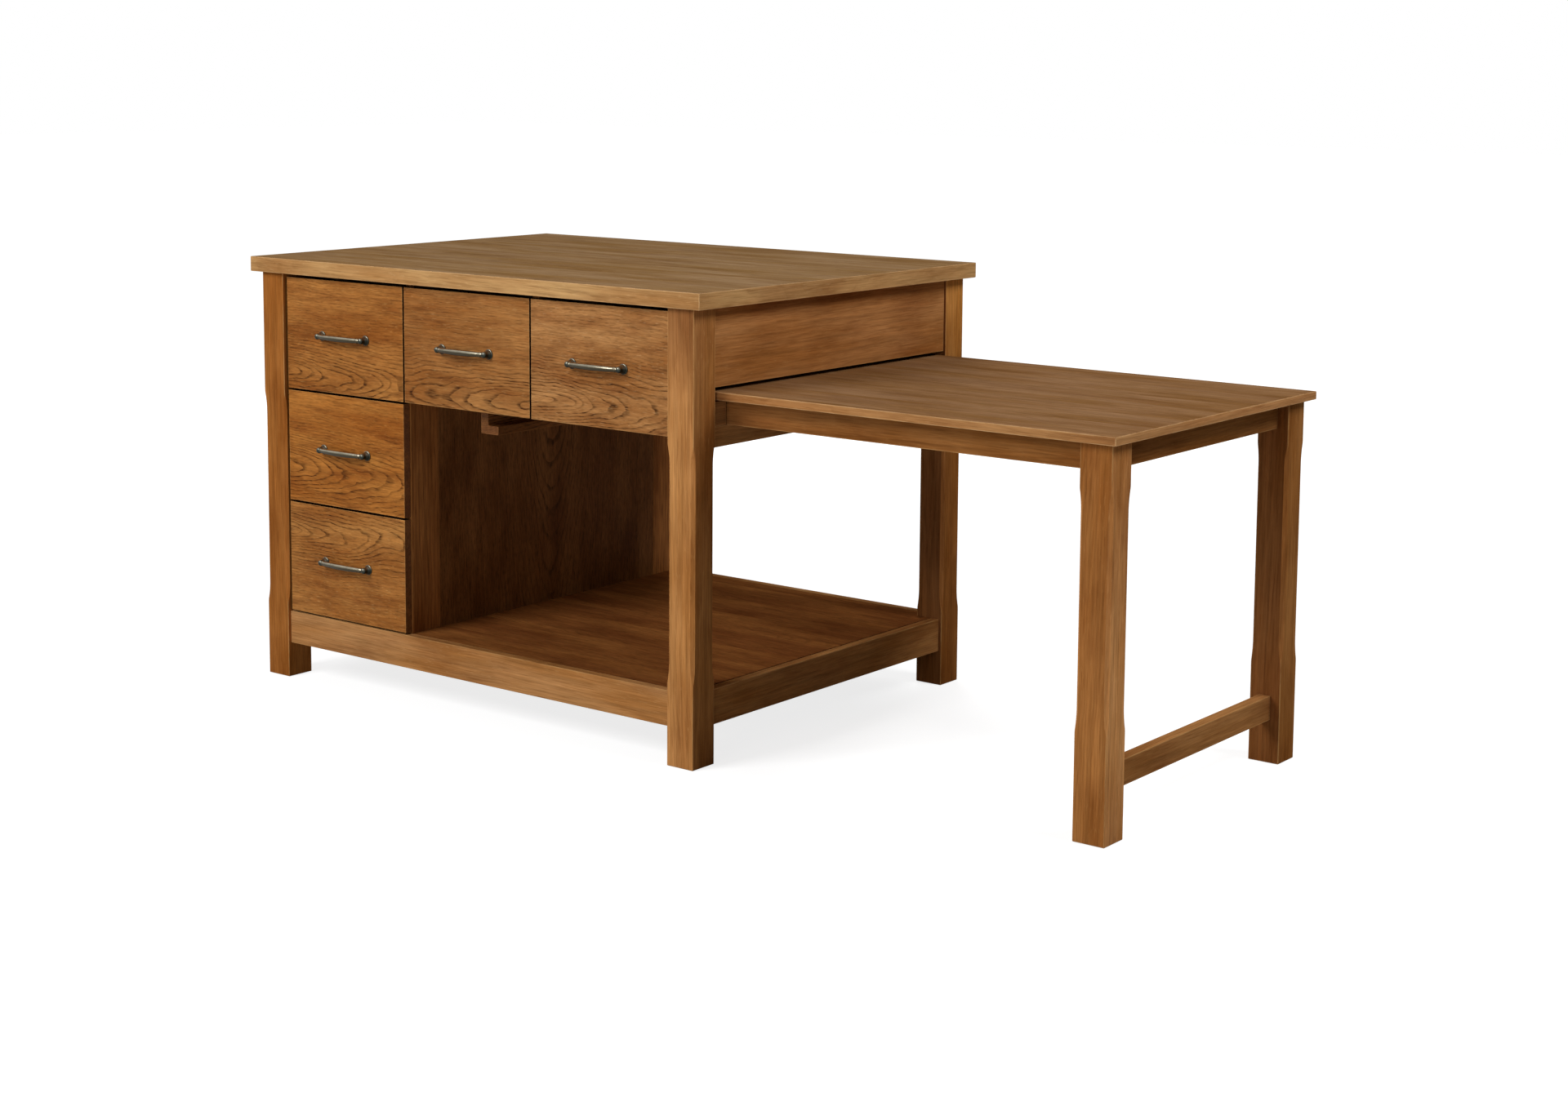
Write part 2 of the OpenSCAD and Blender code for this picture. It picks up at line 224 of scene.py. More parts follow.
# The stain turns from pale to warm in bands of 60 mm, and in streaks of 7 mm
HUE = Pattern(3.0, 16.0, 3.0, 0.36, 0.64)
STREAKS = Pattern(5.0, 150.0, 4.0, 0.32, 0.68)
# Rays, cut lengthwise, are pale flecks up to 18 mm long, drawn 2.6 mm wide to show
FLECKS = Pattern(55.0, 380.0, 1.0, 0.62, 0.72)
# Hands rub an arris more here and less there, every 45 mm
RUBBING = Pattern(22.0, 90.0, 3.0, 0.34, 0.6)


@dataclass(frozen=True)
class Oak:
    """Oak under a stain and a satin lacquer.

    Oak has wide rings whose early wood is a band of open pores. The stain
    settles in them, so each ring is a dark, broken line: straight where the
    board was cut towards the pith, arched where it was cut across. The lacquer
    leaves a soft sheen, and the arrises are rubbed lighter.
    """

    name: str
    pale: str
    warm: str
    line: str
    worn: str
    ring_mm: float = 4.6
    swirl_mm: float = 4.0
    figure: float = 0.8
    pores: float = 0.3
    blotches: float = 0.5
    blotch_scale: tuple[float, float] = (4.0, 11.0)
    wear_mm: float = 2.6
    wear: float = 0.8
    stave_mm: float = 0.0
    flecks: float = 0.15
    streaks: float = 0.18
    roughness: float = 0.45
    gloss: float = 0.2

    # How far the trunk's shape and the fibres' waver move a ring, in mm
    TRUNK_MM = 26.0
    WAVER_MM = 1.2
    # What is left of a ring where it is faint, and of its lines between two pores
    FAINT = 0.45
    BROKEN = 0.72
    # Narrow and wide rings take turns 30 times in a metre, and shift by up to 2 rings
    UNEVEN_SCALE = 30.0
    UNEVEN_RINGS = 2.0
    # How dark a ring is, by its share from one ring's start to the next
    RING_STOPS = ((0.0, 0.0), (1.0, 0.0), (0.06, 1.0), (0.2, 0.85), (0.38, 0.1))
    # Rings are clearest round the pith, in metres from it, and fade further out
    FADE = {"From Min": 0.04, "From Max": 0.11, "To Min": 1.0, "To Max": 0.35}
    # A stave comes from up to this far along the log and across it, in metres
    STAVE_SHIFT = (9.0, 0.09, 0.04)
    # What a blotch does to the colour, and its octaves, start and end
    BLOTCH_COLOUR = "#a98468"
    BLOTCH_LIMITS = (4.0, 0.44, 0.7)
    # Where rubbing went through the stain, in metres from the arris, and its least share
    BARE = 0.3 * MM
    LEAST_RUBBED = 0.15
    # Pores and rings are this much less smooth than the lacquer, and this deep
    ROUGHER = (-0.04, 0.16)
    RELIEF = {"Strength": 0.3, "Distance": 0.25 * MM}
    IOR = 1.45

    def _log_place(self, tree: NodeTree) -> Source:
        """Finds each point's place in the log that its board, or its stave, was cut from.

        Args:
            tree: The node tree.

        Returns:
            The place, in metres.
        """
        place = add_node(tree, "Attribute", attribute_name="log_place").outputs["Vector"]
        if not self.stave_mm:
            return place
        stave = self.stave_mm * MM
        across = add_node(tree, "SeparateXYZ", {0: place}).outputs[1]
        index = add_node(tree, "Math", {0: across, 1: stave}, operation="DIVIDE")
        index = add_node(tree, "Math", {0: index}, operation="FLOOR")
        chance = add_node(tree, "TexWhiteNoise", {"W": index}, noise_dimensions="1D").outputs["Color"]
        shift = add_node(tree, "VectorMath", {0: chance, 1: self.STAVE_SHIFT}, operation="MULTIPLY")
        back = add_node(tree, "Math", {0: index, 1: -stave}, operation="MULTIPLY")
        for move in (shift, add_node(tree, "CombineXYZ", {1: back})):
            place = add_node(tree, "VectorMath", {0: place, 1: move}, operation="ADD")
        return place

    def _rings(self, tree: NodeTree, place: Source) -> Node:
        """Draws the growth rings, bent as a log's are.

        Args:
            tree: The node tree.
            place: Place in the log, in metres.

        Returns:
            How much of a point is early wood.
        """
        bent = place
        bends = ((TRUNK, self.TRUNK_MM), (SWING, self.swirl_mm), (WAVER, self.WAVER_MM))
        for pattern, reach_mm in bends:
            reach = reach_mm * MM * 2
            move = pattern.draw(tree, place).outputs["Color"]
            move = add_node(tree, "VectorMath", {0: move, 1: (0.5, 0.5, 0.5)}, operation="SUBTRACT")
            move = add_node(tree, "VectorMath", {0: move, 1: (0.0, reach, reach)}, operation="MULTIPLY")
            bent = add_node(tree, "VectorMath", {0: bent, 1: move}, operation="ADD")
        flat = add_node(tree, "VectorMath", {0: bent, 1: (0.0, 1.0, 1.0)}, operation="MULTIPLY")
        radius = add_node(tree, "VectorMath", {0: flat}, operation="LENGTH").outputs["Value"]
        uneven = {"W": radius, "Scale": self.UNEVEN_SCALE, "Detail": 2.0}
        uneven = add_node(tree, "TexNoise", uneven, noise_dimensions="1D")
        rings = add_node(tree, "Math", {0: radius, 1: self.ring_mm * MM}, operation="DIVIDE")
        rings = add_node(
            tree, "Math", {0: uneven, 1: self.UNEVEN_RINGS, 2: rings}, operation="MULTIPLY_ADD"
        )
        phase = add_node(tree, "Math", {0: rings}, operation="FRACT")
        lines = add_node(tree, "ValToRGB", {0: phase}, stops=self.RING_STOPS)
        fade = add_node(tree, "MapRange", {"Value": radius} | self.FADE)
        strength = STRENGTH.spread(tree, place, self.FAINT)
        strength = add_node(tree, "Math", {0: strength, 1: fade}, operation="MULTIPLY")
        return add_node(tree, "Math", {0: lines, 1: strength}, operation="MULTIPLY")

    def _dark(self, tree: NodeTree, place: Source) -> Node:
        """Finds where the stain settles: in the pores, and in the rings, which pores break up.

        Args:
            tree: The node tree.
            place: Place in the log, in metres.

        Returns:
            How much stain a point holds.
        """
        pores = PORES.spread(tree, place)
        limits = {"To Min": self.BROKEN * self.figure, "To Max": self.figure}
        broken = add_node(tree, "MapRange", {"Value": pores} | limits)
        lines = add_node(tree, "Math", {0: self._rings(tree, place), 1: broken}, operation="MULTIPLY")
        return add_node(
            tree, "Math", {0: pores, 1: self.pores, 2: lines}, operation="MULTIPLY_ADD", use_clamp=True
        )

    def _colour(self, tree: NodeTree, place: Source, dark: Source) -> Node:
        """Lays the wood's colours over each other, and the board's own tone over them.

        Args:
            tree: The node tree.
            place: Place in the log, in metres.
            dark: How much stain a point holds.

        Returns:
            The colour away from the arrises.
        """
        blotch = Pattern(*self.blotch_scale, *self.BLOTCH_LIMITS)
        layers = (
            (HUE.spread(tree, place), self.warm, "MIX"),
            (dark, self.line, "MIX"),
            (blotch.spread(tree, place, 0.0, self.blotches), self.BLOTCH_COLOUR, "MULTIPLY"),
            (FLECKS.spread(tree, place, 0.0, self.flecks), self.worn, "MIX"),
        )
        colour = linear(self.pale)
        for share, layer, way in layers:
            colours = {0: share, 6: colour, 7: linear(layer)}
            colour = add_node(tree, "Mix", colours, data_type="RGBA", blend_type=way).outputs[2]
        streak = STREAKS.spread(tree, place, 1.0 - self.streaks, 1.0 + self.streaks)
        streaked = add_node(tree, "VectorMath", {0: colour, "Scale": streak}, operation="SCALE")
        tone = add_node(tree, "Attribute", attribute_name="board_tone").outputs["Vector"]
        return add_node(tree, "VectorMath", {0: streaked, 1: tone}, operation="MULTIPLY")

    def _edge(self, tree: NodeTree) -> Node:
        """Finds each point's distance from its board's nearest arris.

        Args:
            tree: The node tree.

        Returns:
            The distance in metres: the middle one of its distances from the faces.
        """
        place = add_node(tree, "Attribute", attribute_name="board_place").outputs["Vector"]
        half = add_node(tree, "Attribute", attribute_name="board_half").outputs["Vector"]
        away = add_node(tree, "VectorMath", {0: place}, operation="ABSOLUTE")
        left = add_node(tree, "VectorMath", {0: half, 1: away}, operation="SUBTRACT")
        x, y, z = add_node(tree, "SeparateXYZ", {0: left}).outputs
        low = add_node(tree, "Math", {0: x, 1: y}, operation="MINIMUM")
        high = add_node(tree, "Math", {0: x, 1: y}, operation="MAXIMUM")
        middle = add_node(tree, "Math", {0: high, 1: z}, operation="MINIMUM")
        return add_node(tree, "Math", {0: low, 1: middle}, operation="MAXIMUM")

    def _rubbed(self, tree: NodeTree, place: Source) -> Node:
        """Finds how much of a point is rubbed, from its arris inwards.

        Args:
            tree: The node tree.
            place: Place in the log, in metres.

        Returns:
            The share that is rubbed.
        """
        limits = {"From Min": self.wear_mm * MM, "From Max": self.BARE}
        close = add_node(
            tree, "MapRange", {"Value": self._edge(tree)} | limits, interpolation_type="SMOOTHSTEP"
        )
        rubbing = RUBBING.spread(tree, place, self.LEAST_RUBBED * self.wear, self.wear)
        return add_node(tree, "Math", {0: close, 1: rubbing}, operation="MULTIPLY")

    def material(self) -> Material:
        """Builds the material.

        Returns:
            The wood, which is also a little rougher and deeper where it is dark.
        """
        material, tree = new_material(self.name)
        place = self._log_place(tree)
        dark = self._dark(tree, place)
        colours = {0: self._rubbed(tree, place), 6: self._colour(tree, place, dark), 7: linear(self.worn)}
        low, high = (self.roughness + more for more in self.ROUGHER)
        shader = add_node(
            tree,
            "BsdfPrincipled",
            {
                "Base Color": add_node(tree, "Mix", colours, data_type="RGBA").outputs[2],
                "Roughness": add_node(tree, "MapRange", {"Value": dark, "To Min": low, "To Max": high}),
                "Normal": add_node(tree, "Bump", {"Height": dark} | self.RELIEF, invert=True),
                "IOR": self.IOR,
                "Specular IOR Level": self.gloss,
            },
        )
        add_node(tree, "OutputMaterial", {0: shader})
        return material


@dataclass(frozen=True)
class Pewter:
    """Cast zinc under a dark pewter plate.

    Its colour is a painted highlight and a painted shade: a warm grey light
    along the top of the bar and of each foot, and a nearly black underside.
    """

    name: str = "pewter_plated_zinc"
    # The light high colour is a painted highlight, and the dark low one a painted shade
    high: str = "#b6ad98"
    low: str = "#3b362a"
    rough: tuple[float, float] = (0.32, 0.18)

    # How much of the painted top light is left between patches of patina, and in them
    PATINA = {"From Min": 0.4, "From Max": 0.66, "To Min": 1.0, "To Max": 0.7}
    # Painted highlight and painted shade: the colour turns from dark to light from just under its sides up
    # to its top
    PAINTED_TOP_LIGHT = {"From Min": -0.1, "From Max": 1.0}

    def material(self) -> Material:
        """Builds the material.

        Returns:
            The metal.
        """
        material, tree = new_material(self.name)
        place = add_node(tree, "TexCoord").outputs["Object"]
        # Patches of patina about 14 mm across, and a casting grain near 0.7 mm
        patches = add_node(tree, "TexNoise", {"Vector": place, "Scale": 70.0, "Detail": 3.0})
        grit = add_node(tree, "TexNoise", {"Vector": place, "Scale": 1400.0, "Detail": 1.0})
        # Faces that look up get the painted highlight and faces that look down the painted shade; rubbed
        # holds this painted light, times the patina
        normal = add_node(tree, "NewGeometry").outputs["Normal"]
        upward = add_node(tree, "SeparateXYZ", {0: normal}).outputs[2]
        rubbed = add_node(
            tree, "MapRange", {"Value": upward} | self.PAINTED_TOP_LIGHT, interpolation_type="SMOOTHSTEP"
        )
        patina = add_node(tree, "MapRange", {"Value": patches} | self.PATINA)
        rubbed = add_node(tree, "Math", {0: rubbed, 1: patina}, operation="MULTIPLY")
        colours = {0: rubbed, 6: linear(self.low), 7: linear(self.high)}
        low, high = self.rough
        shader = add_node(
            tree,
            "BsdfPrincipled",
            {
                "Base Color": add_node(tree, "Mix", colours, data_type="RGBA").outputs[2],
                "Metallic": 1.0,
                "Roughness": add_node(tree, "MapRange", {"Value": rubbed, "To Min": low, "To Max": high}),
                "Normal": add_node(tree, "Bump", {"Strength": 0.05, "Distance": 0.1 * MM, "Height": grit}),
            },
        )
        add_node(tree, "OutputMaterial", {0: shader})
        return material


@dataclass(frozen=True)
class ZincPlate:
    """Steel screws under bright zinc: cold grey, with faint clouds of 2 mm in the plating."""

    name: str = "zinc_plated_steel"
    metal: str = "#b9bcbf"

    def material(self) -> Material:
        """Builds the material.

        Returns:
            The metal.
        """
        material, tree = new_material(self.name)
        place = add_node(tree, "TexCoord").outputs["Object"]
        cloud = add_node(tree, "TexNoise", {"Vector": place, "Scale": 420.0, "Detail": 2.0})
        rough = add_node(tree, "MapRange", {"Value": cloud, "To Min": 0.2, "To Max": 0.45})
        metal = {"Base Color": linear(self.metal), "Metallic": 1.0, "Roughness": rough}
        shader = add_node(tree, "BsdfPrincipled", metal)
        add_node(tree, "OutputMaterial", {0: shader})
        return material


class Finish(Enum):
    """Every finish on the island."""

    # Planed and stained: honey brown, finely lined along the board, with no shine
    FRAME = Oak(
        "stained_oak_frame", "#ae7a48", "#996433", "#6c3f1a", "#c0905a", figure=0.6, pores=0.28, gloss=0.0
    )
    # Cut round the pith: broad dark arches on orange brown, and a trace of sheen
    FRONT = Oak(
        "stained_oak_drawer_front", "#b67e44", "#9c622d", "#42230a", "#c89a60",
        ring_mm=6.0, swirl_mm=9.0, figure=0.95, blotch_scale=(8.0, 42.0), wear=0.35, flecks=0.25,
        streaks=0.16, gloss=0.06,
    )
    # Painted shade: the fronts' narrow faces, which line the gaps between the drawers, are nearly black,
    # standing in for the shade in those gaps
    FRONT_END = Oak(
        "oak_front_edge_painted_gap_shade", "#2c1b10", "#22140a", "#110804", "#4a3220",
        figure=0.5, wear=0.3, gloss=0.0,
    )
    # Planed where a hand seldom comes: darker than the faces, and evenly so
    FRONT_SIDE = Oak(
        "stained_oak_front_side", "#80512a", "#6c4120", "#3a1e0c", "#9a6a3c",
        figure=0.6, blotches=0.3, wear=0.5, gloss=0.1,
    )
    # Glued on after the top was stained: a pale, straight-grained line round it
    EDGE_BAND = Oak(
        "stained_oak_edge_band", "#c69661", "#b07c4a", "#6c4119", "#dcb07c",
        figure=0.5, blotches=0.4, streaks=0.12, gloss=0.02,
    )
    # A greyish, matt brown, streaked along staves of 118 mm: with no gloss, its grey is a painted sheen
    TOP = Oak(
        "stained_oak_top", "#a17d59", "#916a40", "#5e3c24", "#d0a070",
        ring_mm=5.5, figure=0.75, pores=0.35, blotches=0.3, blotch_scale=(3.0, 24.0), stave_mm=118.0,
        streaks=0.12, roughness=0.6, gloss=0.0,
    )
    # Glued of the same staves, red brown and matt, with a dark arris where stain pooled
    SHELF = Oak(
        "stained_oak_shelf", "#975f30", "#7e4a25", "#462a12", "#3c2210",
        ring_mm=5.5, figure=0.7, blotches=0.4, blotch_scale=(3.0, 24.0), stave_mm=118.0,
        roughness=0.55, gloss=0.0,
    )
    # Seldom wiped or rubbed: the frame's brown, darker, with strong wide rings
    INNER = Oak(
        "stained_oak_panel", "#8a5a30", "#744722", "#2a1408", "#8c5e32",
        ring_mm=7.0, figure=0.9, pores=0.35, blotches=0.6, gloss=0.02,
    )
    # Birch boxes under clear lacquer: pale yellow, with faint rings, almost no pores and a sheen
    BIRCH = Oak(
        "lacquered_birch", "#d9bc8e", "#ceac7a", "#b08a58", "#e2caa4",
        ring_mm=9.0, figure=0.35, pores=0.12, blotches=0.15,
    )
    PEWTER = Pewter()
    # The feet are darker than the bar: a painted reflection of the dark wood that their hollow rosettes
    # face
    DARK_PEWTER = Pewter("pewter_painted_dark_reflection", "#8e8a7c", "#2b2f2a", (0.4, 0.25))
    ZINC = ZincPlate()

    @cache
    def material(self) -> Material:
        """Gives the finish's material, which is built when it is first asked for."""
        return self.value.material()


def deselect() -> None:
    """Leaves edit mode and deselects every object."""
    if bpy.context.object and bpy.context.object.mode != "OBJECT":
        bpy.ops.object.mode_set(mode="OBJECT")
    bpy.ops.object.select_all(action="DESELECT")


def activate(piece: Object) -> None:
    """Makes piece the only selected object, and the active one."""
    deselect()
    piece.select_set(True)
    bpy.context.view_layer.objects.active = piece


def edit_unselected(kind: str) -> None:
    """Enters edit mode for vertices or edges, with none selected."""
    bpy.ops.object.mode_set(mode="EDIT")
    bpy.ops.mesh.select_mode(type=kind)
    bpy.ops.mesh.select_all(action="DESELECT")


def select_vertices(piece: Object, test: Callable[[Vector], bool]) -> None:
    """Enters edit mode with just the vertices selected whose place passes a test.

    Args:
        piece: The piece.
        test: Says whether a vertex at a place is wanted.
    """
    activate(piece)
    edit_unselected("VERT")
    bpy.ops.object.mode_set(mode="OBJECT")
    for vertex in piece.data.vertices:
        vertex.select = test(vertex.co)
    bpy.ops.object.mode_set(mode="EDIT")


def add_object(name: str, data: bpy.types.ID) -> Object:
    """Adds an object that shows a mesh, a lamp or a camera."""
    new = bpy.data.objects.new(name, data)
    bpy.context.scene.collection.objects.link(new)
    return new


def duplicate(source: Object, name: str) -> Object:
    """Copies an object with a mesh of its own.

    Args:
        source: The object.
        name: The copy's name.

    Returns:
        The copy, as the active object.
    """
    copy = add_object(name, source.data.copy())
    copy.data.name = name
    activate(copy)
    return copy


def shifted_copy(piece: Object, name: str, shift: Vector) -> Object:
    """Copies a piece that has another place, which goes into the copy's mesh.

    Args:
        piece: The piece.
        name: The copy's name.
        shift: How far the copy stands from the piece.

    Returns:
        The copy.
    """
    copy = duplicate(piece, name)
    copy.location = shift
    bpy.ops.object.transform_apply(location=True, rotation=False, scale=False)
    return copy


def merged_copy(node: str, name: str) -> Object:
    """Copies a CAD node with its loose triangles merged.

    Args:
        node: The node's name.
        name: The copy's name.

    Returns:
        The copy, in edit mode with all of it selected.
    """
    copy = duplicate(bpy.data.objects[node], name)
    bpy.ops.object.mode_set(mode="EDIT")
    bpy.ops.mesh.select_all(action="SELECT")
    bpy.ops.mesh.remove_doubles(threshold=MERGE)
    return copy


def start_block(name: str, low: Vector, high: Vector) -> Object:
    """Adds a block between two corners, with its place in its mesh.

    Args:
        name: The new object's name.
        low: The lowest corner.
        high: The highest corner.

    Returns:
        The block, as the active object.
    """
    deselect()
    bpy.ops.mesh.primitive_cube_add(size=1.0, location=(low + high) / 2, scale=high - low)
    piece = bpy.context.object
    piece.name = name
    piece.data.name = name
    bpy.ops.object.transform_apply(location=True, rotation=True, scale=True)
    return piece


def ease_arrises(piece: Object, width: float) -> None:
    """Rounds every sharp edge of a piece, and keeps its flat faces flat to the eye.

    Args:
        piece: The piece.
        width: The rounding's width in metres.
    """
    activate(piece)
    edit_unselected("EDGE")
    bpy.ops.mesh.edges_select_sharp(sharpness=math.radians(30))
    bpy.ops.mesh.bevel(offset=width, segments=2, affect="EDGES", clamp_overlap=True)
    bpy.ops.object.mode_set(mode="OBJECT")
    bpy.ops.object.shade_smooth_by_angle(angle=math.radians(35))
    bpy.ops.object.modifier_add(type="WEIGHTED_NORMAL")
    piece.modifiers[-1].keep_sharp = True
    bpy.ops.object.modifier_apply(modifier=piece.modifiers[-1].name)


def join(pieces: list[Object], name: str) -> Object:
    """Joins pieces into one object.

    Args:
        pieces: The pieces, or a single one.
        name: The object's name.

    Returns:
        The object.
    """
    activate(pieces[0])
    for piece in pieces[1:]:
        piece.select_set(True)
    if len(pieces) > 1:
        bpy.ops.object.join()
    pieces[0].name = name
    pieces[0].data.name = name
    return pieces[0]


def solids_of(node: str) -> list[tuple[Vector, Vector]]:
    """Finds the box of each separate solid in a CAD node.

    Args:
        node: The node's name.

    Returns:
        The lowest and highest corner of each solid, sorted by place.
    """
    merged_copy(node, "probe")
    bpy.ops.mesh.separate(type="LOOSE")
    bpy.ops.object.mode_set(mode="OBJECT")
    boxes = []
    for part in list(bpy.context.selected_objects):
        points = np.array([v.co for v in part.data.vertices])
        boxes.append((Vector(points.min(0)), Vector(points.max(0))))
        bpy.data.objects.remove(part)
    return sorted(boxes, key=lambda box: tuple(round(c, 4) for c in box[0]))


def dress(piece: Object, finish: Finish) -> None:
    """Gives all of a piece one finish."""
    piece.data.materials.clear()
    piece.data.materials.append(finish.material())


def hand_over(piece: Object, body: str, slot: str, node: str) -> None:
    """Hands a dressed piece to the frame.

    Args:
        piece: The piece.
        body: The CAD body that it rides on.
        slot: The record's material slot. It is not used.
        node: The CAD node that it stands for.
    """
    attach(piece, body)
    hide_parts(node)
    log.info("%s: %d faces, rides on %s", piece.name, len(piece.data.polygons), body)


def dress_faces(piece: Object, finish: Finish, test: Callable[[Vector], bool]) -> None:
    """Gives some of a piece's faces a finish of their own.

    Args:
        piece: The piece.
        finish: The faces' finish.
        test: Says whether a face with such a normal is wanted.
    """
    piece.data.materials.append(finish.material())
    last = len(piece.data.materials) - 1
    for face in piece.data.polygons:
        if test(face.normal):
            face.material_index = last


def read_vectors(items: bpy.types.bpy_prop_collection, name: str) -> np.ndarray:
    """Reads a vector property of every item as rows of three."""
    values = np.empty(len(items) * 3, np.float32)
    items.foreach_get(name, values)
    return values.reshape(-1, 3)


def write_vectors(mesh: Mesh, name: str, domain: str, rows: np.ndarray) -> None:
    """Writes rows of three as a new vector attribute."""
    attribute = mesh.attributes.new(name, "FLOAT_VECTOR", domain)
    attribute.data.foreach_set("vector", rows.astype(np.float32).ravel())


@dataclass
class Timber:
    """One board's wood: which way it grew, how it was sawn and how it took the stain."""

    name: str
    grain: Grain
    cut: Cut = Cut.RIFT
    tone: Tone = PLAIN
    banded: bool = False
    arches: float | None = None

    # How boards of one cut differ: the pith's place in mm, its lean by a share,
    # where in the log they start, in metres, and the stain by a share
    SIDE_MM = (-18, 18)
    BEHIND_MM = (-6, 14)
    LEAN = (0.6, 1.3)
    START = (0, 30)
    STAIN = (0.94, 1.06)
    # Edge bands come from this far beside the pith, in metres, so they have no arches
    BAND_SIDE = 0.11

    def mark(self, piece: Object, low: Vector, high: Vector) -> None:
        """Writes the attributes that the oak material reads.

        A banded board's ends carry edge bands, whose grain runs along them. Where
        arches is given, they lie that far from the board's middle, across its grain.

        Args:
            piece: The board's mesh object.
            low: The board's lowest corner.
            high: Its highest corner.
        """
        chance = random.Random(self.name)
        size = np.array(high - low)
        along = self.grain.value
        others = [axis for axis in range(3) if axis != along]
        wide, thick = sorted(others, key=lambda axis: -size[axis])
        side, behind, lean = self.cut.value
        side = (side + chance.uniform(*self.SIDE_MM)) * chance.choice((-1, 1)) * MM
        behind = (behind + chance.uniform(*self.BEHIND_MM)) * MM
        lean *= chance.uniform(*self.LEAN) * chance.choice((-1, 1))
        start = chance.uniform(*self.START)
        tone = np.array(self.tone) * chance.uniform(*self.STAIN)
        if self.arches is not None:
            side = -self.arches

        mesh = piece.data
        points = read_vectors(mesh.vertices, "co") - np.array(low + high) / 2
        corner = np.empty(len(mesh.loops), np.int32)
        mesh.loops.foreach_get("vertex_index", corner)
        at = points[corner]
        depth = at[:, thick] + behind + lean * at[:, along]
        in_log = np.stack((at[:, along] + start, at[:, wide] + side, depth), axis=1)
        if self.banded:
            normals = read_vectors(mesh.polygons, "normal")
            counts = np.empty(len(mesh.polygons), np.int32)
            mesh.polygons.foreach_get("loop_total", counts)
            end = np.repeat(np.abs(normals[:, along]) > FACING, counts)
            across, depth = at[:, thick] + self.BAND_SIDE, at[:, along] + behind
            in_log[end] = np.stack((at[:, wide] - start, across, depth), axis=1)[end]
        write_vectors(mesh, "log_place", "CORNER", in_log)
        write_vectors(mesh, "board_place", "POINT", points)
        write_vectors(mesh, "board_half", "POINT", np.tile(size / 2, (len(points), 1)))
        write_vectors(mesh, "board_tone", "CORNER", np.tile(tone, (len(mesh.loops), 1)))


@dataclass
class BoardSet:
    """Straight boards with eased arrises, one for each solid of a CAD node."""

    node: str
    grain: Grain
    finish: Finish
    slot: str = "oak"
    cut: Cut = Cut.RIFT
    arris: float = 1.0 * MM
    tone: Tone = PLAIN
    banded: bool = False
    band: Finish | None = None
    arches: float | None = None

    def build(self, body: str) -> Object:
        """Builds the boards as one piece in the node's place.

        Args:
            body: The CAD body that they ride on.

        Returns:
            The piece. Its narrow faces have the band's finish, where there is one.
        """
        boards = []
        for i, (low, high) in enumerate(solids_of(self.node)):
            name = f"{self.node}_{i}"
            board = start_block(name, low, high)
            ease_arrises(board, self.arris)
            timber = Timber(name, self.grain, self.cut, self.tone, self.banded, self.arches)
            timber.mark(board, low, high)
            boards.append(board)
        piece = join(boards, self.node + "_boards")
        dress(piece, self.finish)
        hand_over(piece, body, self.slot, self.node)
        if self.band:
            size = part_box(self.node)[1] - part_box(self.node)[0]
            thin = min(range(3), key=lambda axis: size[axis])
            dress_faces(piece, self.band, lambda normal: abs(normal[thin]) < FACING)
        return piece


@dataclass
class EasedCopy:
    """A board of a less simple shape: the CAD solid's own form with eased arrises."""

    node: str
    grain: Grain
    finish: Finish
    slot: str = "oak"
    arris: float = 0.8 * MM
    end: Finish | None = None

    def build(self, body: str) -> None:
        """Builds the piece in the node's place.

        Args:
            body: The CAD body that it rides on.
        """
        piece = merged_copy(self.node, self.node + "_board")
        bpy.ops.mesh.dissolve_limited(angle_limit=math.radians(1))
        ease_arrises(piece, self.arris)
        Timber(self.node, self.grain, Cut.CROWN).mark(piece, *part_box(self.node))
        dress(piece, self.finish)
        hand_over(piece, body, self.slot, self.node)
        if self.end:
            along = self.grain.value
            dress_faces(piece, self.end, lambda normal: abs(normal[along]) > FACING)


@dataclass(frozen=True)
class PostPaintedLight:
    """The painted light on a post: tones that make its faces lighter or darker.

    Its faces to the front and back, its sides and its head are given tones
    of their own, as painted light and painted shade, such as the table's shade below its top.
    """

    front: Tone = PLAIN
    side: Tone = PLAIN
    front_head: Tone | None = None
    side_head: Tone | None = None

    def tone(self, side: bool, head: bool) -> Vector:
        """Gives the tone of a side or front face, at its head or below."""
        low, high = (self.side, self.side_head) if side else (self.front, self.front_head)
        return Vector(high if head and high else low)


